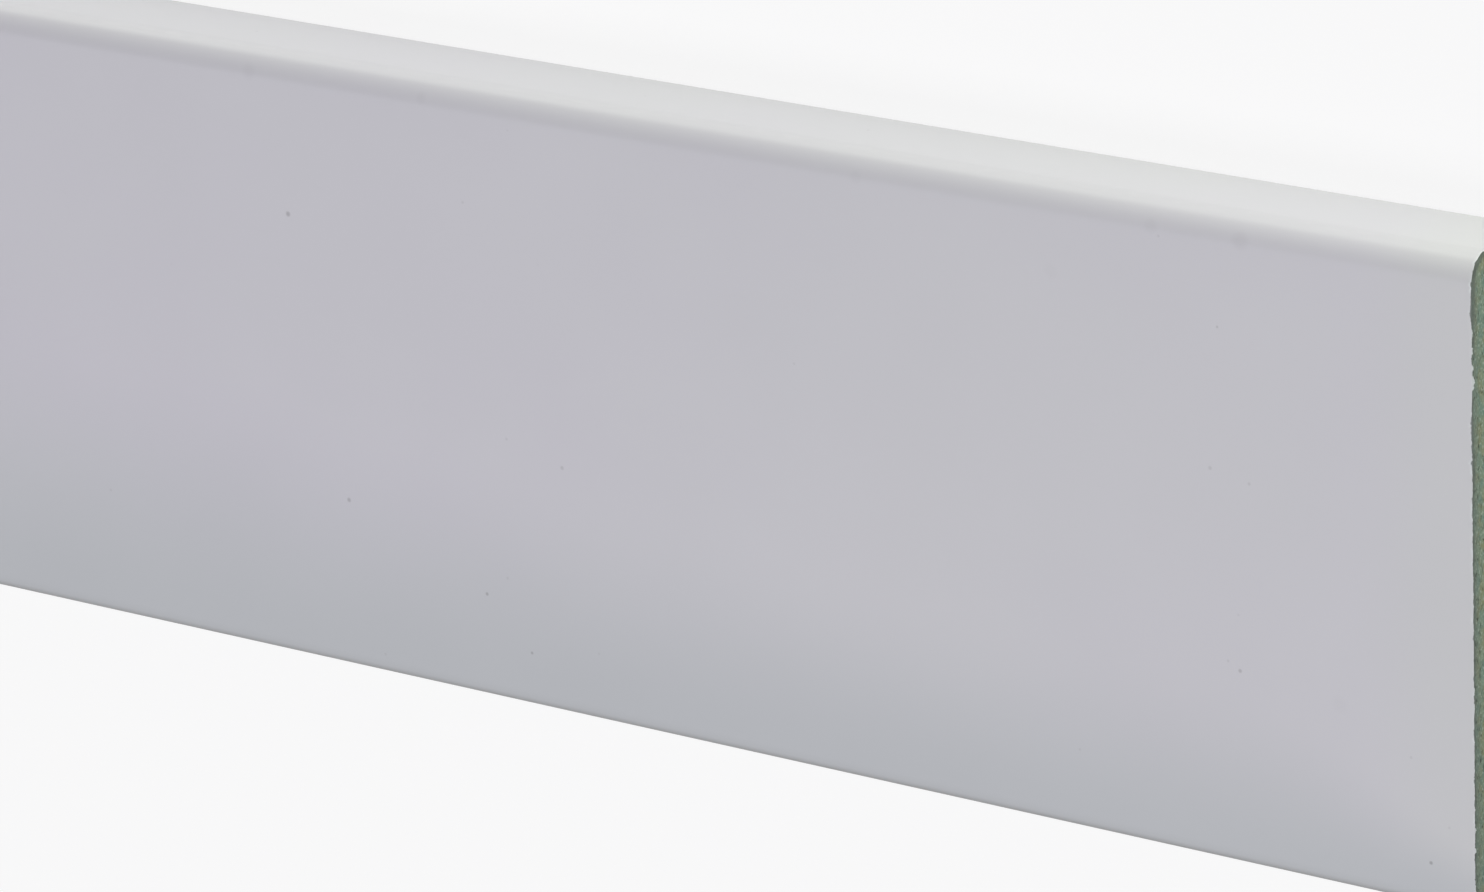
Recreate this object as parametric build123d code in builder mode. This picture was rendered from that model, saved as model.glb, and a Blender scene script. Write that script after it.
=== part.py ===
"""A length of primed MDF architrave with a pencil round along one edge of its face.

The moulding is one piece: a flat board, run through a moulder, primed and cut square at both
ends. It lies flat on its back, face up.

  +X  along the length
  +Y  across the face, towards the rounded edge
  +Z  out of the face

The origin is the middle of the back. All sizes are in millimetres.
"""

import os

from build123d import *

# Stock sizes
length = 2440.0
face_width = 70.0
thickness = 12.0

# The moulded corner, between the face and the edge that is seen round a doorway
pencil_round = 3.0

# The slight softening that sanding and primer leave on the other three long corners
outer_arris = 0.4
back_arris = 0.2

with BuildPart() as architrave:
    with BuildSketch(Plane.YZ.offset(-length / 2)) as section:
        with Locations((0, thickness / 2)):
            Rectangle(face_width, thickness)
        back_corners = section.vertices().group_by(Axis.Y)[0]
        fillet(back_corners, radius=back_arris)
        outer_corner = section.vertices().group_by(Axis.Y)[-1].sort_by(Axis.X)[0]
        fillet(outer_corner, radius=outer_arris)
        moulded_corner = section.vertices().group_by(Axis.Y)[-1].sort_by(Axis.X)[-1]
        fillet(moulded_corner, radius=min(pencil_round, thickness / 2))
    extrude(amount=length)

architrave.part.label = "architrave"

os.makedirs("parts", exist_ok=True)
export_step(architrave.part, "parts/architrave.step")
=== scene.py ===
"""Blender model of a length of primed MDF architrave, lying on its back.

The board is one closed surface: its moulded section carried along the length, and a sawn end at
each side. White primer covers the face and the long edges, the ends are sawn green fibreboard,
and the back is bare sanded fibreboard. Everything is in metres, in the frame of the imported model:
+X along the length, +Y across the face towards the rounded edge, +Z out of the face.
"""

import logging
import math
from abc import ABC, abstractmethod
from collections.abc import Mapping, Sequence
from dataclasses import dataclass
from enum import Enum
from functools import cached_property, reduce
from typing import Any

import bpy
import numpy as np
from mathutils import Matrix, Vector


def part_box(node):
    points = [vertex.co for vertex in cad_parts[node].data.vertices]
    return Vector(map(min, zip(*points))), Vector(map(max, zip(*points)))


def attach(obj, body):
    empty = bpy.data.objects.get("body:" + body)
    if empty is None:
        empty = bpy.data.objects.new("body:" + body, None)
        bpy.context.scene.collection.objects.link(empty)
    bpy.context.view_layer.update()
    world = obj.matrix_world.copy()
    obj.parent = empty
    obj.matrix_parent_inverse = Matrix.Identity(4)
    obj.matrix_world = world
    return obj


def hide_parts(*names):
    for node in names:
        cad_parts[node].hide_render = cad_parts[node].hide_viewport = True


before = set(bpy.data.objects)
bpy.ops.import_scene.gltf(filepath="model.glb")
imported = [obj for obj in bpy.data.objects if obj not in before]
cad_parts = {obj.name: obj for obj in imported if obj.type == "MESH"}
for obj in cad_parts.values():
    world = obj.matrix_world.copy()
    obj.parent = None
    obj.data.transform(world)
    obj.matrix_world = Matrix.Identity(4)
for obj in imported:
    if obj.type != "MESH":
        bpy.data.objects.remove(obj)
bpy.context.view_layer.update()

# One millimetre, in metres
MM = 0.001
NODE = "architrave"
# The picture's size, in pixels
FRAME_WIDTH = 1484
FRAME_HEIGHT = 892

Point = tuple[float, float, float]
Colour = tuple[float, float, float, float]
# Where a mask is 0, and where it is 1. A negative distance is past the end or edge.
Span = tuple[float, float]
Settings = Mapping[str, Any] | None
Sockets = Mapping[str | int, Any] | None

log = logging.getLogger("architrave")


class Coat(Enum):
    """What a face of the board wears, by its place in the list of materials."""

    PRIMER = 0
    SAWN = 1
    BARE = 2


class End(Enum):
    """One end of the board, by the sign of its X."""

    FOOT = -1
    HEAD = 1


class Value:
    """The output of a shader node, wrapped so that maths on it reads as an expression."""

    def __init__(self, bench: "Bench", socket: bpy.types.NodeSocket) -> None:
        """Keeps the bench that adds new nodes, and the socket itself."""
        self.bench = bench
        self.socket = socket

    def __add__(self, other: "Value | float") -> "Value":
        """This plus the other."""
        return self.bench.maths("ADD", self, other)

    def __sub__(self, other: "Value | float") -> "Value":
        """This less the other."""
        return self.bench.maths("SUBTRACT", self, other)

    def __rsub__(self, other: float) -> "Value":
        """A number less this."""
        return self.bench.maths("SUBTRACT", other, self)

    def __mul__(self, other: "Value | float") -> "Value":
        """This times the other."""
        return self.bench.maths("MULTIPLY", self, other)

    def __truediv__(self, other: "Value | float") -> "Value":
        """This divided by the other."""
        return self.bench.maths("DIVIDE", self, other)

    def __abs__(self) -> "Value":
        """The size of this, without its sign."""
        return self.bench.maths("ABSOLUTE", self)

    __radd__ = __add__
    __rmul__ = __mul__

    def larger(self, other: "Value | float") -> "Value":
        """The larger of this and the other."""
        return self.bench.maths("MAXIMUM", self, other)

    def smaller(self, other: "Value | float") -> "Value":
        """The smaller of this and the other."""
        return self.bench.maths("MINIMUM", self, other)

    def step(self, low: float, high: float) -> "Value":
        """Eases from 0 to 1 while this goes from low to high, or from 1 to 0 if high is the lower.

        Args:
            low: Where the result is 0.
            high: Where the result is 1.

        Returns:
            The eased share, held between 0 and 1.
        """
        settings = {"interpolation_type": "SMOOTHSTEP", "clamp": True}
        sockets = {"Value": self, "From Min": low, "From Max": high}
        if high < low:
            sockets |= {"From Min": high, "From Max": low, "To Min": 1.0, "To Max": 0.0}
        return self.bench.take("ShaderNodeMapRange", settings, sockets)


class Bench:
    """The node tree of one material or world, with a method for each way of adding to it."""

    def __init__(self, tree: bpy.types.NodeTree) -> None:
        """Clears the tree that came with the material."""
        self.tree = tree
        self.tree.nodes.clear()

    def node(self, kind: str, settings: Settings = None, sockets: Sockets = None) -> bpy.types.Node:
        """Adds a node, sets it up and fills its inputs.

        Args:
            kind: The node's type, such as "ShaderNodeTexNoise".
            settings: The node's own settings, such as a Math node's operation. They go first.
            sockets: For each input, by name or number, its number, colour or the Value that feeds it.

        Returns:
            The new node.
        """
        made = self.tree.nodes.new(kind)
        for name, setting in (settings or {}).items():
            setattr(made, name, setting)
        for key, content in (sockets or {}).items():
            if isinstance(content, Value):
                self.tree.links.new(content.socket, made.inputs[key])
            else:
                made.inputs[key].default_value = content
        return made

    def take(
        self, kind: str, settings: Settings = None, sockets: Sockets = None, output: str | int = 0
    ) -> Value:
        """Adds a node as node() does, and returns its output of that name or number."""
        return Value(self, self.node(kind, settings, sockets).outputs[output])

    def maths(self, operation: str, *operands: "Value | float") -> Value:
        """Adds a Math node for one operation on numbers."""
        return self.take("ShaderNodeMath", {"operation": operation}, dict(enumerate(operands)))

    def coated(self, base: Any, *coats: tuple[Any, Any]) -> Value:
        """Lays colours over one another.

        Each coat is a Mix node. Its inputs 0, 6 and 7 are the share, the colour below and the
        colour on top, and its output 2 is their mix.

        Args:
            base: The lowest colour, as four numbers or a Value.
            coats: For each colour on top of it, in order, its share from 0 to 1 and the colour.

        Returns:
            The colour that they make together.
        """
        for share, colour in coats:
            sockets = {0: share, 6: base, 7: colour}
            base = self.take("ShaderNodeMix", {"data_type": "RGBA"}, sockets, output=2)
        return base

    @cached_property
    def point(self) -> Value:
        """The point on the surface, in metres in the board's own frame."""
        return self.take("ShaderNodeTexCoord", output="Object")

    @cached_property
    def axes(self) -> tuple[Value, Value, Value]:
        """The point's X, Y and Z: along the board, across it and up."""
        made = self.node("ShaderNodeSeparateXYZ", sockets={"Vector": self.point})
        return tuple(Value(self, socket) for socket in made.outputs)

    def noise(
        self,
        repeats: Sequence[float],
        detail: float = 2.0,
        rough: float = 0.5,
        turn: float = 0.0,
        shift: Sequence[float] = (0.0, 0.0, 0.0),
    ) -> Value:
        """Cloudy noise at the point, stretched, turned about Z and shifted.

        Args:
            repeats: Its repeats for each metre along X, Y and Z. Where one is 0, the noise doesn't
                change along that axis.
            detail: How many finer layers it has.
            rough: How strong the finer layers are.
            turn: The angle about Z, in degrees.
            shift: What is added last, in repeats.

        Returns:
            The noise, mostly between 0.25 and 0.75.
        """
        turned = (0.0, 0.0, math.radians(turn))
        fitting = {"Vector": self.point, "Scale": repeats, "Rotation": turned, "Location": shift}
        fitted = self.take("ShaderNodeMapping", {"vector_type": "POINT"}, fitting)
        sockets = {"Vector": fitted, "Scale": 1.0, "Detail": detail, "Roughness": rough}
        return self.take("ShaderNodeTexNoise", {"noise_dimensions": "3D"}, sockets)

    def nearest_dot(self, repeats: float) -> Value:
        """How far the nearest of many scattered dots is, in cells, with that many cells a metre."""
        settings = {"voronoi_dimensions": "3D", "feature": "F1"}
        sockets = {"Vector": self.point, "Scale": repeats}
        return self.take("ShaderNodeTexVoronoi", settings, sockets, "Distance")

    def distance(self, spot: Point) -> Value:
        """How far the point is from one fixed spot, in metres."""
        sockets = {0: self.point, 1: spot}
        return self.take("ShaderNodeVectorMath", {"operation": "DISTANCE"}, sockets, "Value")

    def attribute(self, name: str) -> Value:
        """A number that each point of the mesh carries."""
        settings = {"attribute_type": "GEOMETRY", "attribute_name": name}
        return self.take("ShaderNodeAttribute", settings, output="Fac")

    def bump(self, height: Value, depth: float, below: Value | None = None) -> Value:
        """Turns a height from 0 to 1 into a bent normal.

        Args:
            height: The height.
            depth: How deep the relief is between 0 and 1, in metres.
            below: The normal of a coarser relief that this one lies on.

        Returns:
            The normal.
        """
        sockets = {"Strength": 1.0, "Distance": depth, "Height": height}
        if below is not None:
            sockets["Normal"] = below
        return self.take("ShaderNodeBump", sockets=sockets)

    def surface(self, shader: Value, output: str = "ShaderNodeOutputMaterial") -> None:
        """Wires a shader to the output of the material or world."""
        self.node(output, sockets={"Surface": shader})


def tint(red: float, green: float, blue: float) -> Colour:
    """Turns a colour as it looks on a screen into the light that it sends back.

    The formula is the screen's own curve: a power of 2.4 above a short straight stretch.

    Args:
        red: From 0 to 255.
        green: From 0 to 255.
        blue: From 0 to 255.

    Returns:
        Red, green and blue from 0 to 1 in linear light, and an alpha of 1.
    """
    screen = np.array([red, green, blue]) / 255.0
    light = np.where(screen <= 0.04045, screen / 12.92, ((screen + 0.055) / 1.055) ** 2.4)
    return (*light.tolist(), 1.0)


@dataclass(frozen=True)
class Viewpoint:
    """Where the camera stands and how it is held.

    Attributes:
        place: The lens, in metres.
        aim: The point of the board's face that is in the middle of the picture.
        lean: How far the camera leans to its right, in degrees, from holding the rounded edge up.
        focal: The focal length, in pixels of the picture.
        sensor: The sensor's width, in millimetres.
    """

    place: Point = (1.582955, 0.27089, 0.63914)
    aim: Point = (1.130755, 0.00012, 0.012)
    lean: float = 2.31
    focal: float = 7710.0
    sensor: float = 36.0

    def axes(self) -> Matrix:
        """Works out how the camera is turned.

        Returns:
            Its right, up and back directions, as the columns of a matrix.
        """
        back = (Vector(self.place) - Vector(self.aim)).normalized()
        right = Vector((0.0, 1.0, 0.0)).cross(back).normalized()
        level = Matrix((right, back.cross(right), back)).transposed()
        return level @ Matrix.Rotation(-math.radians(self.lean), 3, "Z")

    def on_level(self, column: float, row: float, height: float) -> Vector:
        """Finds what a pixel of the picture shows on a level plane.

        Args:
            column: Pixels from the left edge.
            row: Pixels from the top edge.
            height: The plane's Z.

        Returns:
            The point where the ray through the pixel meets the plane.
        """
        across = (column - FRAME_WIDTH / 2) / self.focal
        down = (row - FRAME_HEIGHT / 2) / self.focal
        ray = self.axes() @ Vector((across, -down, -1.0))
        start = Vector(self.place)
        return start + ray * ((height - start.z) / ray.z)

    def build(self) -> None:
        """Adds the camera and makes it the scene's."""
        lens = bpy.data.cameras.new("camera")
        lens.sensor_fit = "HORIZONTAL"
        lens.sensor_width = self.sensor
        lens.lens = self.focal / FRAME_WIDTH * self.sensor
        lens.clip_start = 0.01
        camera = bpy.data.objects.new("camera", lens)
        camera.matrix_world = Matrix.Translation(Vector(self.place)) @ self.axes().to_4x4()
        bpy.context.scene.collection.objects.link(camera)
        bpy.context.scene.camera = camera


@dataclass(frozen=True)
class Speck:
    """A dark fleck caught in the primer of the face, or a broad faint smudge on it.

    Attributes:
        column: Where it shows in the picture, in pixels from the left.
        row: The same, from the top.
        width: How wide it is, in metres.
        strength: How dark it is, from 0 to 1.
    """

    column: float
    row: float
    width: float
    strength: float


SPECKS = (
    Speck(column=288, row=214, width=0.57 * MM, strength=0.35),
    Speck(column=349, row=500, width=0.50 * MM, strength=0.30),
    Speck(column=562, row=468, width=0.46 * MM, strength=0.19),
    Speck(column=487, row=594, width=0.39 * MM, strength=0.35),
    Speck(column=532, row=653, width=0.34 * MM, strength=0.33),
    Speck(column=1217, row=327, width=0.28 * MM, strength=0.22),
    Speck(column=1210, row=468, width=0.42 * MM, strength=0.15),
    Speck(column=1249, row=484, width=0.36 * MM, strength=0.14),
    Speck(column=1228, row=661, width=0.30 * MM, strength=0.13),
    Speck(column=1240, row=671, width=0.43 * MM, strength=0.27),
    Speck(column=1431, row=863, width=0.39 * MM, strength=0.42),
    Speck(column=1239, row=241, width=1.80 * MM, strength=0.050),
    Speck(column=1150, row=226, width=1.50 * MM, strength=0.035),
    Speck(column=855, row=177, width=1.40 * MM, strength=0.030),
    Speck(column=420, row=98, width=1.30 * MM, strength=0.035),
    Speck(column=248, row=71, width=1.70 * MM, strength=0.035),
    Speck(column=1050, row=271, width=1.50 * MM, strength=0.020),
    Speck(column=1340, row=705, width=1.80 * MM, strength=0.020),
)


@dataclass(frozen=True)
class Flake:
    """A place where the primer's edge leaves the arris of the head end.

    Attributes:
        row: Where it shows in the picture, in pixels from the top.
        length: How far it goes along the arris, in metres.
        reach: How far the primer hangs out over the end, or how far back it is torn if this is
            negative, in metres along the board.
    """

    row: float
    length: float
    reach: float


ARRIS_COLUMN = 1473
FLAKES = (
    Flake(row=308, length=3.6 * MM, reach=-0.07 * MM),
    Flake(row=340, length=2.0 * MM, reach=0.13 * MM),
    Flake(row=352, length=0.7 * MM, reach=0.15 * MM),
    Flake(row=379, length=2.6 * MM, reach=0.20 * MM),
    Flake(row=383, length=0.5 * MM, reach=0.12 * MM),
    Flake(row=436, length=4.2 * MM, reach=-0.11 * MM),
    Flake(row=463, length=0.4 * MM, reach=-0.14 * MM),
    Flake(row=692, length=0.8 * MM, reach=0.13 * MM),
    Flake(row=829, length=1.2 * MM, reach=0.11 * MM),
    Flake(row=851, length=0.5 * MM, reach=0.15 * MM),
)


@dataclass(frozen=True)
class RaggedEdge:
    """How the primer's edge wanders about the arris of a sawn end.

    Attributes:
        flakes: The flakes and gaps at the head end, as a Y and a Flake each.
        slow: How far it wanders in stretches of a few millimetres, in metres along the board.
        quick: How far it wanders from fibre to fibre.
        tips: Where a flake starts and is full, from its middle, as shares of its length.
    """

    flakes: tuple[tuple[float, Flake], ...]
    slow: float = 0.26 * MM
    quick: float = 0.62 * MM
    tips: Span = (0.62, 0.38)

    def wander(self, bench: Bench) -> Value:
        """Works out where the primer ends.

        It is a slow noise, a quick one, and a soft-ended step for each flake, all read along the
        arris. The flakes are at the head end alone.

        Args:
            bench: The material's nodes.

        Returns:
            How far the primer reaches past the arris, in metres, or is torn back if negative.
        """
        along, across, _ = bench.axes
        slow = bench.noise((0.0, 300.0, 300.0), detail=1.0)
        quick = bench.noise((0.0, 1300.0, 1300.0), detail=4.0, rough=0.65)
        total = (slow - 0.5) * self.slow + (quick - 0.5) * self.quick
        head = along.step(-0.1, 0.1)
        for spot, flake in self.flakes:
            near = abs(across - spot).step(*(flake.length * share for share in self.tips))
            total = total + near * head * flake.reach
        return total


@dataclass(frozen=True)
class Fibreboard:
    """The colours of moisture-resistant fibreboard, which is dyed green.

    Attributes:
        core: The usual colour of the fibres.
        olive: Bundles that took less dye.
        teal: Bundles that took more.
        pale: Loose fibre ends that catch the light.
        pore: The gaps between bundles.
        skin: The dense layer next to either face.
        rim: The darker band of fibres close under the primer's edge.
    """

    core: Colour = tint(137, 157, 132)
    olive: Colour = tint(140, 145, 107)
    teal: Colour = tint(113, 142, 125)
    pale: Colour = tint(194, 207, 188)
    pore: Colour = tint(62, 71, 56)
    skin: Colour = tint(118, 130, 119)
    rim: Colour = tint(94, 103, 97)


@dataclass(frozen=True)
class Finish(ABC):
    """A surface finish, which makes its own material.

    Attributes:
        name: The material's name.
        half_length: From the board's middle to a sawn end, in metres.
        half_width: From the board's middle to a long edge.
        thickness: From the back to the face.
        edge: How the primer ends at the sawn ends.
        board: The colours of the fibreboard, which is bare or shows through.
    """

    name: str
    half_length: float
    half_width: float
    thickness: float
    edge: RaggedEdge
    board: Fibreboard

    @abstractmethod
    def dress(self, bench: Bench) -> Value:
        """Adds the finish's nodes and returns the shader."""

    def material(self) -> bpy.types.Material:
        """Makes the finish into a material.

        Returns:
            The new material.
        """
        made = bpy.data.materials.new(self.name)
        made.use_nodes = True
        bench = Bench(made.node_tree)
        bench.surface(self.dress(bench))
        return made


@dataclass(frozen=True)
class Primer(Finish):
    """White primer, sprayed thin over the moulded face and edges.

    Attributes:
        specks: The flecks and smudges on the face, as a point and a Speck each.
        colour: The primer.
        warmer: The primer where it went on thicker.
        outer_shade: The primer's colour, darker and greener, painted as shade along the outer edge.
        dulled: The primer that dust and handling have dulled, most of all near an end.
        shade_and_grime: The outer arris's colour: painted shade along it, and primer worn and dirty.
        fleck: The flecks.
        burr_highlight: The torn lip of primer along a sawn end, lighter than the primer as a painted
            highlight.
        strip: How wide the painted shade along the outer edge is, in metres.
        sway: How far that width comes and goes along the board.
        widening: How far from an end the shaded strip is narrowest, and where it has its full width.
        dulling: How far from an end the dulling starts, and where it is full.
        broad_arris_shade: How far from the outer arris its faint painted shade starts, and where it is
            full.
        narrow_arris_shade: The same for the stronger painted shade along it.
        lip: How far from the primer's edge the torn lip starts, and where it is full.
        chip: How far back from the end a deep bite of the saw bares the board.
        soft: Half the width of the change from primer to bare board.
        dimple: How deep the dimples are.
        peel: How deep the orange peel and the drag lines are.
    """

    specks: tuple[tuple[Point, Speck], ...]
    colour: Colour = tint(207, 206, 211)
    warmer: Colour = tint(208, 208, 211)
    outer_shade: Colour = tint(191, 195, 196)
    dulled: Colour = tint(207, 209, 207)
    shade_and_grime: Colour = tint(122, 120, 114)
    fleck: Colour = tint(70, 66, 66)
    burr_highlight: Colour = tint(226, 232, 229)
    strip: float = 23.0 * MM
    sway: float = 7.0 * MM
    widening: Span = (-12.0 * MM, 28.0 * MM)
    dulling: Span = (14.0 * MM, 2.0 * MM)
    broad_arris_shade: Span = (1.6 * MM, -0.4 * MM)
    narrow_arris_shade: Span = (0.85 * MM, -0.15 * MM)
    lip: Span = (0.30 * MM, 0.10 * MM)
    chip: float = 0.12 * MM
    soft: float = 0.02 * MM
    dimple: float = 0.004 * MM
    peel: float = 0.010 * MM

    def flecks(self, bench: Bench) -> Value:
        """Puts the specks in their places, and fine dust all over.

        Args:
            bench: The material's nodes.

        Returns:
            The share of fleck at the point.
        """
        share = bench.nearest_dot(150.0).step(0.035, 0.015) * 0.1
        for spot, speck in self.specks:
            near = bench.distance(spot).step(speck.width * 0.75, speck.width * 0.2)
            share = share.larger(near * speck.strength)
        return share

    def outer_shade_share(self, bench: Bench, from_end: Value) -> Value:
        """How much painted shade darkens the primer towards the outer edge.

        The shaded strip is as wide as a constant plus a long wave along the board, and it narrows
        near an end, where more light reaches the face.

        Args:
            bench: The material's nodes.
            from_end: How far the nearer sawn end is, in metres.

        Returns:
            From 0, no shade, to 1, full painted shade.
        """
        along, across, _ = bench.axes
        wave = bench.maths("COSINE", (along - 1.0) * 12.0)
        narrowed = from_end.step(*self.widening) * 0.75 + 0.25
        width = (self.strip + wave * self.sway) * narrowed
        return ((across + self.half_width) / width).step(1.1, 0.0)

    def arris_shade_and_wear(self, bench: Bench) -> Value:
        """How dark the outer arris is: painted shade along it, and the primer worn off in patches.

        The distance from the arris is the larger of the distances from the two planes that meet
        there. A broad faint band and a narrow stronger one of painted shade follow the arris, and
        patches along the arris itself are worn through.

        Args:
            bench: The material's nodes.

        Returns:
            From 0, untouched, to 1, fully darkened.
        """
        _, across, up = bench.axes
        away = (across + self.half_width).larger(self.thickness - up)
        patches = bench.noise((90.0, 0.0, 0.0), detail=5.0, rough=0.7)
        worn = (away / ((0.15 + patches * 0.4) * MM)).step(1.0, 0.35) * (patches + 0.3).smaller(0.8)
        return (away.step(*self.narrow_arris_shade) * 0.56 + away.step(*self.broad_arris_shade) * 0.22).larger(worn)

    def relief(self, bench: Bench) -> Value:
        """Bends the normal as the dried primer does: orange peel, dimples and drag lines.

        Args:
            bench: The material's nodes.

        Returns:
            The normal.
        """
        peel = bench.noise((420.0, 420.0, 420.0), detail=2.0)
        drag = bench.noise((22.0, 900.0, 900.0), detail=2.0)
        coarse = bench.bump(bench.nearest_dot(120.0).step(0.05, 0.11), self.dimple)
        return bench.bump(peel + drag * 0.35, self.peel, below=coarse)

    def dress(self, bench: Bench) -> Value:
        """Adds the primer's nodes: its clouds, painted shade along the outer edge and on the outer
        arris, wear, the torn lip with a painted highlight, flecks and chips.

        Args:
            bench: The material's nodes.

        Returns:
            The shader.
        """
        along, _, _ = bench.axes
        from_end = self.half_length - abs(along)
        clouds = bench.noise((16.0, 26.0, 26.0), detail=3.0)
        drift = bench.maths("COSINE", (along - self.half_length) * 9.0).step(0.3, 1.0)
        near_end = from_end.step(*self.dulling)
        wander = self.edge.wander(bench)
        sparse = bench.noise((0.0, 420.0, 420.0), detail=3.0, shift=(0.0, 5.0, 2.0))
        lip = (from_end + wander * 1.5).step(*self.lip) * sparse.step(0.50, 0.62)
        torn = bench.attribute("chip") * self.chip - wander - from_end
        paint = bench.coated(
            self.colour,
            (clouds.step(0.35, 0.65), self.warmer),
            (drift * 0.35 + near_end * 0.5, self.dulled),
            # Painted shade: the primer darkens and greens along the outer edge
            (self.outer_shade_share(bench, from_end), self.outer_shade),
            # Painted shade along the outer arris, with patches of real wear
            (self.arris_shade_and_wear(bench), self.shade_and_grime),
            # Painted highlight: the torn lip is lighter than the primer itself
            (lip * 0.6, self.burr_highlight),
            (self.flecks(bench), self.fleck),
            (torn.step(-self.soft, self.soft) * 0.9, self.board.rim),
        )
        rough = 0.38 + bench.noise((60.0, 60.0, 60.0), detail=4.0) * 0.08
        sockets = {"Base Color": paint, "Roughness": rough, "Normal": self.relief(bench)}
        return bench.take("ShaderNodeBsdfPrincipled", sockets=sockets)


@dataclass(frozen=True)
class SawnEnd(Finish):
    """Fibreboard as the saw leaves it, square across the board.

    Attributes:
        primer: The colour of the primer that hangs over: the torn lip's colour, lighter than the primer
            as a painted highlight.
        skin_depth: How deep the dense layer next to each face is, in metres.
        rim_depth: How wide the darker band next to the primer's edge is, in metres.
        felt_depth: How deep the felt of fibres is, in metres.
        skin_wander: How far the skins' inner side wanders.
        felt_wander: How far the darker band's inner side wanders from fibre to fibre.
        hue_wander: How far it wanders with the fibres' hue.
        outer_side: The Y where the end starts to darken towards the outer edge, and where it is darkest.
        round_side: The Y where the darker band starts to widen towards the pencil round, and where
            it is widest.
        soft: Half the width of the change from primer to fibres.
        foreshortening: How much further primer reaches down the end than its edge wanders along
            the board.
    """

    primer: Colour
    skin_depth: float = 2.2 * MM
    rim_depth: float = 0.46 * MM
    felt_depth: float = 0.16 * MM
    skin_wander: float = 1.0 * MM
    felt_wander: float = 0.6 * MM
    hue_wander: float = 1.2 * MM
    outer_side: Span = (-6.0 * MM, -18.0 * MM)
    round_side: Span = (25.0 * MM, 31.0 * MM)
    soft: float = 0.03 * MM
    foreshortening: float = 1.75

    def dress(self, bench: Bench) -> Value:
        """Adds the sawn end's nodes: felted fibres, dense skins, a darker rim, and overhanging primer
        with a painted highlight.

        The fibres lie across the board. The end is darker towards the outer edge.

        Args:
            bench: The material's nodes.

        Returns:
            The shader.
        """
        _, across, up = bench.axes
        hue = bench.noise((0.0, 340.0, 560.0), detail=4.0, rough=0.6, shift=(0.0, 7.0, 3.0))
        bundles = bench.noise((0.0, 620.0, 1100.0), detail=4.0, rough=0.65)
        felt = bench.noise((0.0, 1100.0, 2300.0), detail=5.0, rough=0.68, shift=(0.0, 3.0, 5.0))
        hairs = bench.noise((0.0, 2300.0, 7000.0), detail=3.0, shift=(0.0, 1.0, 9.0))
        to_face = up.smaller(self.thickness - up) + (bundles - 0.5) * self.skin_wander
        skin = to_face.step(self.skin_depth, self.skin_depth * 0.1)
        to_paint = bench.attribute("to_paint")
        depth = (1.0 + across.step(*self.round_side) * 0.8) * self.rim_depth
        wavering = to_paint + (felt - 0.5) * self.felt_wander + (hue - 0.5) * self.hue_wander
        rim = wavering / depth
        over = self.edge.wander(bench) * self.foreshortening - to_paint
        colour = bench.coated(
            self.board.olive,
            (hue.step(0.42, 0.58), self.board.teal),
            (bundles.step(0.38, 0.62) * 0.85, self.board.core),
            (skin * 0.75, self.board.skin),
            (felt.step(0.49, 0.31) * 0.95, self.board.pore),
            (hairs.step(0.52, 0.68) * (1 - skin * 0.4) * 0.65, self.board.pale),
            (across.step(*self.outer_side) * 0.07, self.board.pore),
            (rim.step(1.3, 0.4) * 0.65, self.board.rim),
            # Painted highlight: the overhanging primer takes the torn lip's lighter colour
            (over.step(-self.soft, self.soft) * 0.9, self.primer),
        )
        sockets = {
            "Base Color": colour,
            "Roughness": 0.82 + hairs * 0.15,
            "Normal": bench.bump(felt * 0.6 + hairs * 0.3 + bundles * 0.3, self.felt_depth),
            "Specular IOR Level": 0.25,
        }
        return bench.take("ShaderNodeBsdfPrincipled", sockets=sockets)


@dataclass(frozen=True)
class BareBack(Finish):
    """The sanded back, with the primer's overspray along both long edges.

    Attributes:
        primer: The colour of the overspray.
        layers: How many ways the fibres lie.
        nap_depth: How deep the fibres and sanding lines are, in metres.
        spray: How far from a long edge the overspray starts, and where it is full.
        spray_wander: How far its edge wanders.
    """

    primer: Colour
    layers: int = 4
    nap_depth: float = 0.02 * MM
    spray: Span = (1.1 * MM, -0.4 * MM)
    spray_wander: float = 3.2 * MM

    def fibres(self, bench: Bench) -> Value:
        """Lays short fibres every way: the strongest of several stretched noises, each turned further.

        Args:
            bench: The material's nodes.

        Returns:
            The strongest noise at the point.
        """
        laid = [
            bench.noise((420.0, 2600.0, 0.0), 2.0, 0.55, 45.0 * layer + 12.0, (0.0, 0.0, layer))
            for layer in range(self.layers)
        ]
        return reduce(Value.larger, laid)

    def dress(self, bench: Bench) -> Value:
        """Adds the back's nodes: pressed fibres, sanding lines, blotches and overspray.

        Args:
            bench: The material's nodes.

        Returns:
            The shader.
        """
        _, across, _ = bench.axes
        fibres = self.fibres(bench)
        blotches = bench.noise((22.0, 34.0, 0.0), detail=4.0, rough=0.6)
        sanding = bench.noise((9.0, 2600.0, 0.0), detail=3.0)
        mist = bench.noise((70.0, 500.0, 0.0), detail=5.0, rough=0.7)
        to_spray = self.half_width - abs(across) - (mist - 0.45) * self.spray_wander
        colour = bench.coated(
            self.board.skin,
            (blotches.step(0.2, 0.8) * 0.45, self.board.core),
            (fibres.step(0.60, 0.76) * 0.55, self.board.pale),
            (fibres.step(0.52, 0.44) * 0.35, self.board.pore),
            (sanding.step(0.5, 0.75) * 0.18, self.board.pale),
            (to_spray.step(*self.spray) * 0.9, self.primer),
        )
        sockets = {
            "Base Color": colour,
            "Roughness": 0.74 + blotches * 0.12,
            "Normal": bench.bump(fibres * 0.5 + sanding * 0.4, self.nap_depth),
        }
        return bench.take("ShaderNodeBsdfPrincipled", sockets=sockets)


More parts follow.
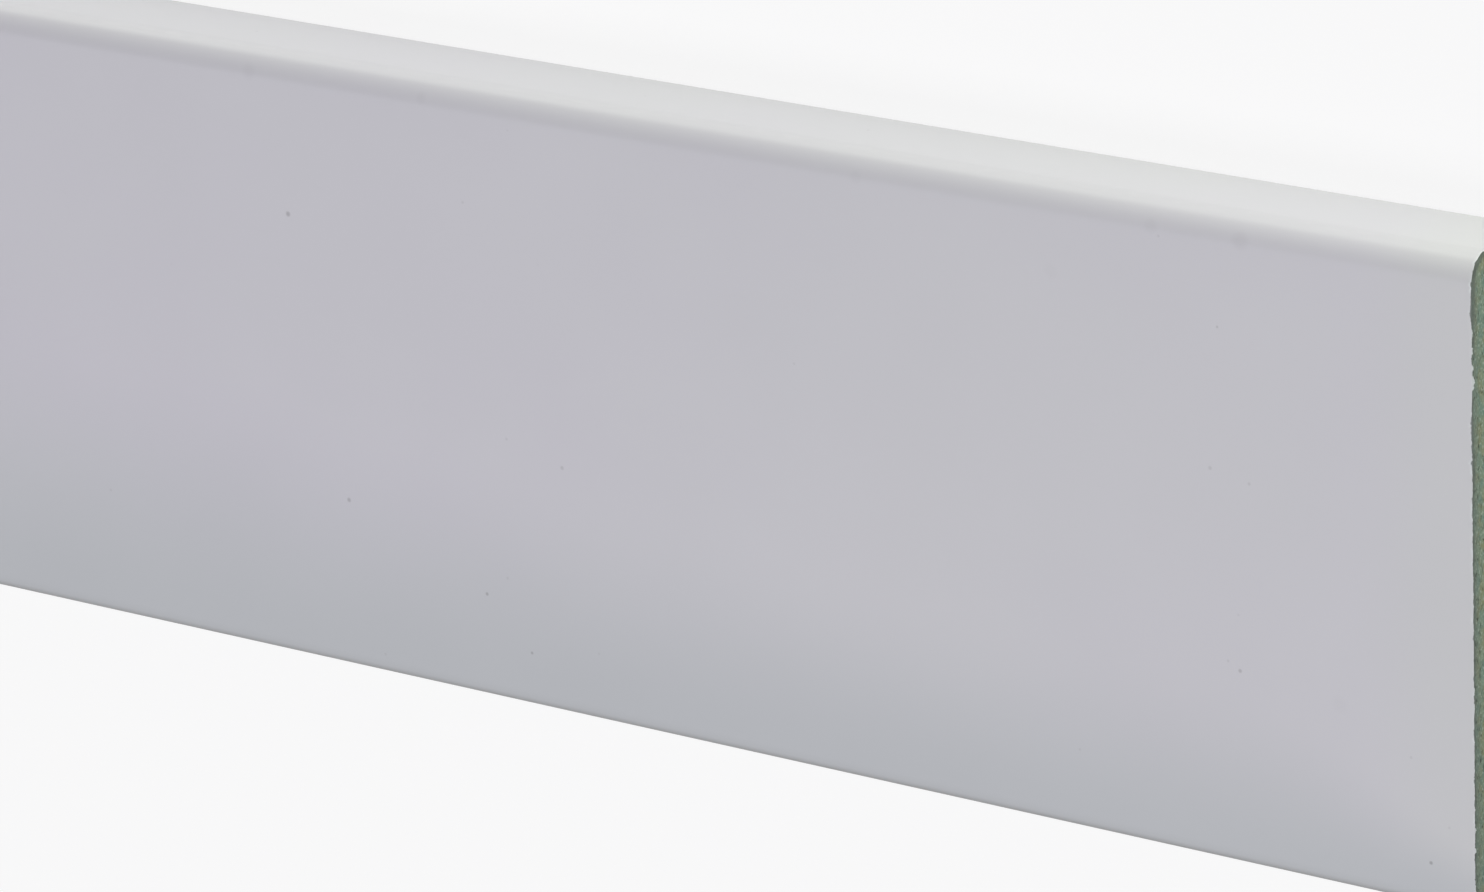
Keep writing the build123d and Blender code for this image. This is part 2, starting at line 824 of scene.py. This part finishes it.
@dataclass(frozen=True)
class Corner:
    """One rounded corner of the section.

    Attributes:
        across: The Y of its arc's centre.
        up: The Z of its arc's centre.
        radius: The arc's radius.
        middle: The direction of the arc's middle, in degrees from +Y towards +Z.
    """

    across: float
    up: float
    radius: float
    middle: float

    def arc(self, start: float, stop: float, steps: int) -> np.ndarray:
        """Points along a stretch of the arc.

        Each point is the centre plus the radius along an angle that goes evenly from start to stop.

        Args:
            start: The first angle, in degrees from the arc's middle.
            stop: The last angle, in the same way.
            steps: How many chords the stretch has.

        Returns:
            steps + 1 rows of Y and Z.
        """
        angle = np.radians(self.middle + np.linspace(start, stop, steps + 1))
        y = self.across + self.radius * np.cos(angle)
        z = self.up + self.radius * np.sin(angle)
        return np.stack([y, z], 1)


@dataclass(frozen=True)
class Section:
    """The moulded section, in the plane square to the board's length.

    Attributes:
        width: Across the face.
        thickness: From the back to the face.
        pencil_round: The radius between the face and the rounded edge.
        outer_arris: The radius between the face and the other edge.
        back_arris: The radius of both corners of the back.
        arc_steps: Chords in half a corner.
        face_steps: Chords in the flat of the face or the back.
        edge_steps: Chords in the flat of either edge.
    """

    width: float
    thickness: float
    pencil_round: float = 3.0 * MM
    outer_arris: float = 0.4 * MM
    back_arris: float = 0.2 * MM
    arc_steps: int = 9
    face_steps: int = 236
    edge_steps: int = 36

    def corners(self) -> tuple[Corner, Corner, Corner, Corner]:
        """Places the four corners.

        Returns:
            The corners, going round from the back's outer one as seen from the head end.
        """
        half = self.width / 2
        top = self.thickness
        small, outer, large = self.back_arris, self.outer_arris, self.pencil_round
        return (
            Corner(-half + small, small, small, 225.0),
            Corner(half - small, small, small, 315.0),
            Corner(half - large, top - large, large, 45.0),
            Corner(-half + outer, top - outer, outer, 135.0),
        )

    def side(self, first: Corner, last: Corner, flat_steps: int) -> np.ndarray:
        """The stretch of outline from the middle of one corner to the middle of the next.

        It is half an arc, a straight flat cut evenly, and half an arc.

        Args:
            first: The corner that it leaves.
            last: The corner that it comes to.
            flat_steps: Chords in the flat.

        Returns:
            Rows of Y and Z, from middle to middle.
        """
        leaving = first.arc(0.0, 45.0, self.arc_steps)
        coming = last.arc(-45.0, 0.0, self.arc_steps)
        share = np.linspace(0.0, 1.0, flat_steps + 1)[1:-1, None]
        flat = leaving[-1] * (1 - share) + coming[0] * share
        return np.concatenate([leaving, flat, coming])

    def sides(self) -> tuple[np.ndarray, ...]:
        """The back, the rounded edge, the face and the outer edge, each running into the next."""
        corners = self.corners()
        flats = (self.face_steps, self.edge_steps) * 2
        return tuple(self.side(corners[i], corners[(i + 1) % 4], flats[i]) for i in range(4))

    def ring(self) -> np.ndarray:
        """The closed outline as rows of Y and Z, without repeating the first point."""
        return np.concatenate([side[:-1] for side in self.sides()])

    def outward(self) -> np.ndarray:
        """Works out which way each point of the outline faces.

        Returns:
            Rows of Y and Z, one long, each square to the chord between the point's neighbours.
        """
        ring = self.ring()
        chord = np.roll(ring, -1, axis=0) - np.roll(ring, 1, axis=0)
        square = np.stack([chord[:, 1], -chord[:, 0]], 1)
        return square / np.linalg.norm(square, axis=1, keepdims=True)

    def patch(self) -> np.ndarray:
        """The area inside the outline as a grid of points.

        It is a Coons patch: the back blended into the face, plus the outer edge blended into the
        rounded edge, less the flat sheet through the four corner middles.

        Returns:
            An array of Y and Z by place along the face and place up the edge.
        """
        back, rounded, face, outer = self.sides()
        face, outer = face[::-1], outer[::-1]
        s = np.linspace(0.0, 1.0, len(back))[:, None, None]
        t = np.linspace(0.0, 1.0, len(rounded))[None, :, None]
        across = back[:, None] * (1 - t) + face[:, None] * t
        upward = outer[None] * (1 - s) + rounded[None] * s
        sheet = (back[0] * (1 - s) + back[-1] * s) * (1 - t) + (face[0] * (1 - s) + face[-1] * s) * t
        return across + upward - sheet

    def border(self) -> np.ndarray:
        """Finds the outline in the patch.

        Returns:
            For each point of the patch, its place on the outline, or -1 for a point inside.
        """
        long = self.face_steps + 2 * self.arc_steps
        short = self.edge_steps + 2 * self.arc_steps
        total = 2 * (long + short)
        ids = np.full((long + 1, short + 1), -1)
        ids[:, 0] = np.arange(long + 1)
        ids[-1, :] = long + np.arange(short + 1)
        ids[:, -1] = long + short + np.arange(long, -1, -1)
        ids[0, :] = (total - np.arange(short + 1)) % total
        return ids


@dataclass(frozen=True)
class SawWear:
    """What the saw did to the ends: many small bites on the arris, few of them deep, and a kerf.

    Attributes:
        bites: How many bites there are round one end.
        least: The half length along the arris of the smallest, in metres.
        most: The half length of the largest.
        reach: How far a bite reaches from the arris.
        depth: How deep the deepest is.
        zone: How far in from the end the bites are worked out.
        edge_share: The share of the half width past which a bite pulls across the board.
        seed: Where the random draws for the bites start.
        ripple: How deep the blade's ripples across the end are.
        felt: How deep the torn fibres are.
        waves: How many sines make up the torn fibres.
        felt_seed: Where the random draws for them start.
    """

    bites: int = 320
    least: float = 0.25 * MM
    most: float = 1.5 * MM
    reach: float = 0.22 * MM
    depth: float = 0.10 * MM
    zone: float = 1.5 * MM
    edge_share: float = 0.97
    seed: int = 7
    ripple: float = 0.012 * MM
    felt: float = 0.05 * MM
    waves: int = 40
    felt_seed: int = 23

    def bitten(
        self, points: np.ndarray, inset: np.ndarray, outline: np.ndarray, end: End, half: float
    ) -> tuple[np.ndarray, np.ndarray]:
        """Works out how far the bites pull each point in, and how torn they leave it.

        A bite is centred on the end's outline. Its depth falls off as a bell curve along the
        arris, and as another one away from it. It pulls points in along the board and towards
        the middle of the section's thickness or width. Lengths and depths are random shares
        cubed, so that most are small.

        Args:
            points: Rows of X, Y and Z near the end.
            inset: How far each point is from the painted outline, across the end.
            outline: The section's outline, as rows of Y and Z.
            end: Which end it is.
            half: Half the board's length.

        Returns:
            The move of each point, and a share from 0 to 1 for how torn it is.
        """
        draws = np.random.default_rng(self.seed + end.value)
        spots = outline[draws.integers(0, len(outline), self.bites)]
        long = self.least + (self.most - self.least) * draws.random(self.bites) ** 3
        depth = self.depth * draws.random(self.bites) ** 3
        on_edge = np.abs(spots[:, 0]) > self.edge_share * np.abs(outline[:, 0]).max()
        middle = (outline[:, 1].min() + outline[:, 1].max()) / 2
        inward = np.zeros((self.bites, 3))
        inward[:, 0] = -end.value
        inward[:, 1] = np.where(on_edge, -np.sign(spots[:, 0]), 0.0)
        inward[:, 2] = np.where(on_edge, 0.0, np.sign(middle - spots[:, 1]))
        inward /= np.sqrt(2.0)
        away = np.linalg.norm(points[:, None, 1:] - spots[None], axis=2)
        from_arris = np.hypot(np.abs(points[:, 0]) - half, inset)
        bell = np.exp(-((away / long) ** 2)) * np.exp(-((from_arris / self.reach) ** 2))[:, None]
        move = (bell * depth) @ inward
        return move, (bell * depth / self.depth).max(axis=1)

    def kerf(self, grid: np.ndarray) -> np.ndarray:
        """How far the saw and the torn fibres set an end's points back.

        The ripples are a sine along the width, bowed a little up the edge. The torn fibres are a
        sum of sines in directions and phases drawn once.

        Args:
            grid: The end's points.

        Returns:
            The depth at each point, from 0.
        """
        y, z = grid[..., 1], grid[..., 2]
        bow = 5.0 * np.sin(z * 260.0)
        ripple = 0.5 + 0.5 * np.sin(y * 4200.0 + z * 500.0 + bow)
        draws = np.random.default_rng(self.felt_seed)
        turns = draws.uniform(0.0, 2 * np.pi, (self.waves, 1, 1))
        pitch = draws.uniform(1500.0, 9000.0, (self.waves, 1, 1))
        tilt = draws.uniform(0.0, 2 * np.pi, (self.waves, 1, 1))
        waves = np.sin(y[None] * np.cos(tilt) * pitch * 0.4 + z[None] * np.sin(tilt) * pitch + turns)
        felt = np.clip(0.5 + waves.sum(axis=0) / 12.0, 0.0, 1.0)
        return self.ripple * ripple + self.felt * felt


@dataclass(frozen=True)
class BakeMap:
    """How the unwrapped board lies on its bake map. Lengths are shares of the map's side.

    Attributes:
        strips: How many lengths the long faces are cut into.
        strip_length: How long each is on the map.
        margin: The gap left of and below each strip.
        end_length: How long a sawn end is on the map.
        end_left: The left side of both ends.
        head_base: The bottom of the head end.
        foot_base: The bottom of the foot end.
    """

    strips: int = 4
    strip_length: float = 0.9
    margin: float = 0.004
    end_length: float = 0.44
    end_left: float = 0.915
    head_base: float = 0.03
    foot_base: float = 0.53

    def long_faces(self, ring: np.ndarray, x: np.ndarray) -> np.ndarray:
        """Lays out the long faces.

        The wrap is cut into strips along the board. Each strip lies level, one above the other,
        with X along the map and the way round the section up it.

        Args:
            ring: The section's outline.
            x: The stations.

        Returns:
            Places on the map by station stretch, place round the section and corner.
        """
        closed = np.concatenate([ring, ring[:1]])
        chords = np.linalg.norm(np.diff(closed, axis=0), axis=1)
        round_way = np.concatenate([[0.0], np.cumsum(chords)])
        half = x[-1]
        span = 2 * half / self.strips
        scale = self.strip_length / span
        middle = (x[:-1] + x[1:]) / 2
        strip = np.clip(((middle + half) / span).astype(int), 0, self.strips - 1)
        start = strip * span - half
        left, right = (x[:-1] - start) * scale, (x[1:] - start) * scale
        low, high = round_way[:-1] * scale, round_way[1:] * scale
        base = (strip / self.strips)[:, None, None]
        u = self.margin + np.stack([left, left, right, right], 1)[:, None]
        v = self.margin + base + np.stack([low, high, high, low], 1)[None]
        return np.stack(np.broadcast_arrays(u, v), axis=3)

    def sawn_end(self, grid: np.ndarray, end: End, width: float) -> np.ndarray:
        """Lays out a sawn end: upright, right of the strips.

        Args:
            grid: The end's points.
            end: Which end it is.
            width: The board's width.

        Returns:
            The place of each point on the map.
        """
        scale = self.end_length / width
        base = self.head_base if end is End.HEAD else self.foot_base
        u = self.end_left + grid[..., 2] * scale
        v = base + (grid[..., 1] + width / 2) * scale
        return np.stack([u, v], axis=2)


def cells(grid: np.ndarray) -> np.ndarray:
    """What stands at the four corners of each cell of a grid, going round the cell."""
    return np.stack([grid[:-1, :-1], grid[1:, :-1], grid[1:, 1:], grid[:-1, 1:]], 2)


@dataclass(frozen=True)
class Board:
    """The whole moulding: its section carried along the length, and its two sawn ends.

    Attributes:
        section: The moulded section.
        length: From end to end.
        near_end: How far in from each end the stations crowd together.
        near_steps: Stations in that stretch.
        body_steps: Stretches between, a multiple of the bake map's strips.
        skim: How far inside the CAD surface the painted faces lie, to leave room for the sag.
        end_depth: How close to an end a point counts as part of it.
        wear: What the saw did to the ends.
        bake_map: How the surface is laid out for the bake.
    """

    section: Section
    length: float
    near_end: float = 7.0 * MM
    near_steps: int = 26
    body_steps: int = 52
    skim: float = 0.02 * MM
    end_depth: float = 0.2 * MM
    wear: SawWear = SawWear()
    bake_map: BakeMap = BakeMap()

    def stations(self) -> np.ndarray:
        """Spaces the outlines that the long faces run through.

        Returns:
            The X of each: even along the board, and closing up as a square towards each end.
        """
        half = self.length / 2
        crowd = half - self.near_end * np.linspace(0.0, 1.0, self.near_steps + 1) ** 2
        body = np.linspace(-1.0, 1.0, self.body_steps + 1) * (half - self.near_end)
        return np.concatenate([-crowd[:-1], body, crowd[:-1][::-1]])

    def sag(self, x: np.ndarray, y: np.ndarray) -> np.ndarray:
        """How far the primer's surface lies below the CAD one: long slow waves.

        Args:
            x: Places along the board.
            y: Places across it.

        Returns:
            The depth at each place, between 0 and twice skim.
        """
        waves = (
            np.sin(x * 21.0 + y * 35.0 + 0.6)
            + np.sin(x * 9.0 - y * 60.0 + 2.1)
            + np.sin(y * 150.0 + x * 4.0)
        )
        return self.skim * (1.0 + waves / 3.0)

    def walls(self) -> np.ndarray:
        """Carries the outline along the board.

        Returns:
            The long faces as a grid of points: each station's outline, moved in by the sag.
        """
        x = self.stations()
        ring = self.section.ring()
        depth = self.sag(x[:, None], ring[None, :, 0])
        outline = ring[None] - self.section.outward()[None] * depth[..., None]
        return np.concatenate([np.broadcast_to(x[:, None, None], depth.shape + (1,)), outline], axis=2)

    def end_grid(self, walls: np.ndarray, end: End) -> np.ndarray:
        """A sawn end as a grid of points: the section's patch, fitted to the last outline.

        Args:
            walls: The long faces.
            end: Which end it is.

        Returns:
            Points by place along the face and place up the edge. Its border is the last outline,
            and the points inside are set back by the kerf.
        """
        patch = self.section.patch()
        x = np.full(patch.shape[:2] + (1,), end.value * self.length / 2)
        grid = np.concatenate([x, patch], axis=2)
        ids = self.section.border()
        rim = ids >= 0
        grid[rim] = walls[-1 if end is End.HEAD else 0][ids[rim]]
        grid[..., 0] -= np.where(rim, 0.0, end.value * self.wear.kerf(grid))
        return grid

    def to_paint(self, points: np.ndarray, batches: int = 16) -> np.ndarray:
        """How far each point of an end is from the painted outline, by the nearest of its points.

        Args:
            points: Rows of X, Y and Z.
            batches: How many parts the work is done in, to save memory.

        Returns:
            The distances, and 0 for points away from the ends.
        """
        painted = self.section.ring()[len(self.section.sides()[0]) - 1 :]
        at_end = np.abs(points[:, 0]) > self.length / 2 - self.end_depth
        distances = np.zeros(len(points))
        distances[at_end] = np.concatenate(
            [
                np.linalg.norm(batch[:, None] - painted[None], axis=2).min(axis=1)
                for batch in np.array_split(points[at_end, 1:], batches)
            ]
        )
        return distances

    def build(self) -> bpy.types.Object:
        """Works out every point and face, and puts them into one mesh.

        Returns:
            The board, without its finishes.
        """
        x, walls = self.stations(), self.walls()
        ring, half = self.section.ring(), self.length / 2
        wall_ids = np.arange(len(x) * len(ring)).reshape(len(x), len(ring))
        wrapped = np.concatenate([wall_ids, wall_ids[:, :1]], axis=1)
        points = [walls.reshape(-1, 3)]
        faces = [cells(wrapped.T).swapaxes(0, 1).reshape(-1, 4)]
        maps = [self.bake_map.long_faces(ring, x).reshape(-1, 4, 2)]
        border = self.section.border()
        inside = border < 0
        for end in End:
            grid = self.end_grid(walls, end)
            ids = border + (wall_ids[-1, 0] if end is End.HEAD else 0)
            ids[inside] = sum(len(part) for part in points) + np.arange(inside.sum())
            points.append(grid[inside])
            # Going round the other way turns the foot end's faces outwards
            order = slice(None, None, end.value)
            laid = self.bake_map.sawn_end(grid, end, self.section.width)
            faces.append(cells(ids).reshape(-1, 4)[:, order])
            maps.append(cells(laid).reshape(-1, 4, 2)[:, order])
        points = np.concatenate(points)
        to_paint = self.to_paint(points)
        chip = np.zeros(len(points))
        for end in End:
            near = np.flatnonzero(points[:, 0] * end.value > half - self.wear.zone)
            move, chip[near] = self.wear.bitten(points[near], to_paint[near], ring, end, half)
            points[near] += move
        back = np.arange(len(ring)) < len(self.section.sides()[0]) - 1
        coats = np.full(sum(len(part) for part in faces), Coat.SAWN.value)
        coats[: len(faces[0])] = np.tile(np.where(back, Coat.BARE.value, Coat.PRIMER.value), len(x) - 1)
        piece = self.meshed(points, np.concatenate(faces), np.concatenate(maps), coats, wall_ids.size)
        for name, numbers in (("chip", chip), ("to_paint", to_paint)):
            layer = piece.data.attributes.new(name, "FLOAT", "POINT")
            layer.data.foreach_set("value", numbers.astype(np.float32))
        return piece

    def meshed(
        self, points: np.ndarray, faces: np.ndarray, maps: np.ndarray, coats: np.ndarray, wall_count: int
    ) -> bpy.types.Object:
        """Puts the arrays into a mesh object.

        Args:
            points: Rows of X, Y and Z.
            faces: Rows of four point numbers.
            maps: For each face and corner, its place on the bake map.
            coats: The material number of each face.
            wall_count: How many of the points belong to the long faces.

        Returns:
            The object, with the two outlines of the ends marked sharp.
        """
        mesh = bpy.data.meshes.new("moulded_board")
        mesh.vertices.add(len(points))
        mesh.vertices.foreach_set("co", points.ravel())
        mesh.loops.add(faces.size)
        mesh.loops.foreach_set("vertex_index", faces.ravel())
        mesh.polygons.add(len(faces))
        mesh.polygons.foreach_set("loop_start", np.arange(0, faces.size, 4))
        mesh.polygons.foreach_set("material_index", coats)
        mesh.polygons.foreach_set("use_smooth", np.ones(len(faces), bool))
        mesh.update(calc_edges=True)
        layer = mesh.uv_layers.new(name="OFBake")
        layer.uv.foreach_set("vector", maps.ravel())
        ends = np.empty(len(mesh.edges) * 2, np.int32)
        mesh.edges.foreach_get("vertices", ends)
        ends = ends.reshape(-1, 2)
        round_count = len(self.section.ring())
        on_foot = (ends < round_count).all(axis=1)
        on_head = ((ends >= wall_count - round_count) & (ends < wall_count)).all(axis=1)
        mesh.edges.foreach_set("use_edge_sharp", on_foot | on_head)
        piece = bpy.data.objects.new("moulded_board", mesh)
        bpy.context.scene.collection.objects.link(piece)
        return piece

    def dress(self, piece: bpy.types.Object, view: Viewpoint) -> None:
        """Gives the piece its three finishes, in the order of Coat.

        Args:
            piece: The board.
            view: The camera, through which the specks and flakes are placed.
        """
        half_width, top = self.section.width / 2, self.section.thickness
        specks = tuple((tuple(view.on_level(speck.column, speck.row, top)), speck) for speck in SPECKS)
        flakes = tuple((view.on_level(ARRIS_COLUMN, flake.row, top).y, flake) for flake in FLAKES)
        shared = (self.length / 2, half_width, top, RaggedEdge(flakes), Fibreboard())
        primer = Primer("white_primer", *shared, specks)
        finishes = {
            Coat.PRIMER: primer,
            Coat.SAWN: SawnEnd("sawn_fibreboard", *shared, primer.burr_highlight),
            Coat.BARE: BareBack("sanded_fibreboard", *shared, primer.colour),
        }
        for coat in Coat:
            piece.data.materials.append(finishes[coat].material())


PLAIN = (1.0, 1.0, 1.0)
COOL = (1.0, 0.985, 1.045)
WARM = (0.985, 1.0, 0.93)
MIDWAY = (0.5, 0.0, 0.0)


@dataclass(frozen=True)
class Lamp:
    """A soft lamp: a bright rectangle that faces one point.

    Attributes:
        name: What it is called in the scene.
        place: Its middle, in metres.
        aim: The point that it faces.
        size: Its level side and its other side.
        power: In watts.
        colour: The colour of its light.
        narrow: Whether it lights the board alone, so that no bright pool lies on the floor.
    """

    name: str
    place: Point
    aim: Point
    size: tuple[float, float]
    power: float
    colour: tuple[float, float, float]
    narrow: bool = False

    def build(self, board: bpy.types.Collection) -> None:
        """Adds the lamp, unseen by the camera.

        Args:
            board: The collection that holds the board and no floor.
        """
        light = bpy.data.lights.new(self.name, "AREA")
        light.shape = "RECTANGLE"
        light.size, light.size_y = self.size
        light.energy = self.power
        light.color = self.colour
        lamp = bpy.data.objects.new(self.name, light)
        facing = (Vector(self.aim) - Vector(self.place)).to_track_quat("-Z", "Y")
        lamp.matrix_world = Matrix.Translation(Vector(self.place)) @ facing.to_matrix().to_4x4()
        lamp.visible_camera = False
        if self.narrow:
            lamp.light_linking.receiver_collection = board
            lamp.light_linking.blocker_collection = board
        bpy.context.scene.collection.objects.link(lamp)


@dataclass(frozen=True)
class Studio:
    """A pale floor and soft light all round.

    The two table lamps stand below the floor. They light the board alone, as a white table under
    it would.

    Attributes:
        sky: The light of the surroundings on the object, as red, green, blue and 1.
        floor: The floor's colour.
        glow: The share of plain white in what the camera sees of the floor. The rest is lit by the
            lamps and keeps the board's shadow.
        haze: The backdrop's colour where it is seen, which is that of the open floor.
        reach: Half the floor's side, in metres.
        drop: How far the floor lies below the board's back, so that they don't share a plane.
        lamps: The lamps.
    """

    sky: Colour = (0.307, 0.301, 0.324, 1.0)
    floor: Colour = (0.86, 0.86, 0.86, 1.0)
    glow: float = 0.86
    haze: Colour = (0.937, 0.937, 0.937, 1.0)
    reach: float = 30.0
    drop: float = 0.05 * MM
    lamps: tuple[Lamp, ...] = (
        Lamp("overhead", (0.5, -2.1, 4.5), MIDWAY, size=(10.8, 1.8), power=154.0, colour=COOL),
        Lamp("outer_side", (0.5, -9.6, 2.8), MIDWAY, size=(28.8, 3.2), power=54.0, colour=PLAIN),
        Lamp(
            "table_near", (-4.76, 7.52, -0.64), MIDWAY,
            size=(8.0, 1.2), power=276.0, colour=WARM, narrow=True,
        ),
        Lamp(
            "table_deep", (-3.1, 7.72, -3.15), MIDWAY,
            size=(12.0, 1.2), power=288.0, colour=WARM, narrow=True,
        ),
        Lamp(
            "edge_fill", (1.42, 0.3, 0.02), (1.2, 0.0, 0.005),
            size=(0.25, 0.12), power=0.47, colour=WARM, narrow=True,
        ),
        Lamp(
            "head_fill", (1.45, -0.1, 0.42), (1.2, 0.0, 0.0),
            size=(0.3, 0.2), power=0.19, colour=PLAIN, narrow=True,
        ),
    )

    def seen_directly(self, bench: Bench) -> Value:
        """Tells rays from the camera from the rest.

        Args:
            bench: The nodes of the material or world.

        Returns:
            One for rays from the camera, also by way of gloss or glass, and zero for the rest.
        """
        path = bench.node("ShaderNodeLightPath")
        names = ("Is Camera Ray", "Is Glossy Ray", "Is Transmission Ray")
        camera, glossy, clear = (Value(bench, path.outputs[name]) for name in names)
        return (camera + glossy + clear).smaller(1.0)

    def surroundings(self) -> None:
        """Sets the world: near white where it is seen, and an even soft light elsewhere."""
        world = bpy.data.worlds.new("studio")
        world.use_nodes = True
        bpy.context.scene.world = world
        bench = Bench(world.node_tree)
        soft, seen = (
            bench.take("ShaderNodeBackground", sockets={"Color": colour, "Strength": 1.0})
            for colour in (self.sky, self.haze)
        )
        sockets = {0: self.seen_directly(bench), 1: soft, 2: seen}
        both = bench.take("ShaderNodeMixShader", sockets=sockets)
        bench.surface(both, "ShaderNodeOutputWorld")

    def ground(self) -> None:
        """Adds the floor, which keeps the board's shadow."""
        mesh = bpy.data.meshes.new("floor")
        signs = ((-1, -1), (1, -1), (1, 1), (-1, 1))
        corners = [(x * self.reach, y * self.reach, -self.drop) for x, y in signs]
        mesh.from_pydata(corners, [], [(0, 1, 2, 3)])
        floor = bpy.data.objects.new("floor", mesh)
        bpy.context.scene.collection.objects.link(floor)
        paper = bpy.data.materials.new("white_paper")
        paper.use_nodes = True
        bench = Bench(paper.node_tree)
        matt = bench.take("ShaderNodeBsdfDiffuse", sockets={"Color": self.floor})
        glowing = {"Color": (1.0, 1.0, 1.0, 1.0), "Strength": 1.0}
        white = bench.take("ShaderNodeEmission", sockets=glowing)
        sockets = {0: self.seen_directly(bench) * self.glow, 1: matt, 2: white}
        bench.surface(bench.take("ShaderNodeMixShader", sockets=sockets))
        floor.data.materials.append(paper)

    def build(self, piece: bpy.types.Object) -> None:
        """Adds the surroundings, the floor and the lamps round the board.

        Args:
            piece: The board, which the narrow lamps light alone.
        """
        self.surroundings()
        self.ground()
        board = bpy.data.collections.new("board")
        board.objects.link(piece)
        for lamp in self.lamps:
            lamp.build(board)


def main() -> None:
    """Builds the camera, the studio and the board, and reports the board's counts."""
    logging.basicConfig(level=logging.INFO, format="%(name)s: %(message)s")
    scene = bpy.context.scene
    scene.view_settings.view_transform = "Standard"
    low, high = (np.array(corner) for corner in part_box(NODE))
    span = high - low
    view = Viewpoint()
    view.build()
    board = Board(Section(width=float(span[1]), thickness=float(span[2])), length=float(span[0]))
    piece = board.build()
    board.dress(piece, view)
    Studio().build(piece)
    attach(piece, "root")
    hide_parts(NODE)
    mesh = piece.data
    counts = (len(mesh.vertices), len(mesh.polygons), len(Coat))
    log.info("%s: %d points, %d faces, %d finishes", piece.name, *counts)


if __name__ == "__main__":
    main()
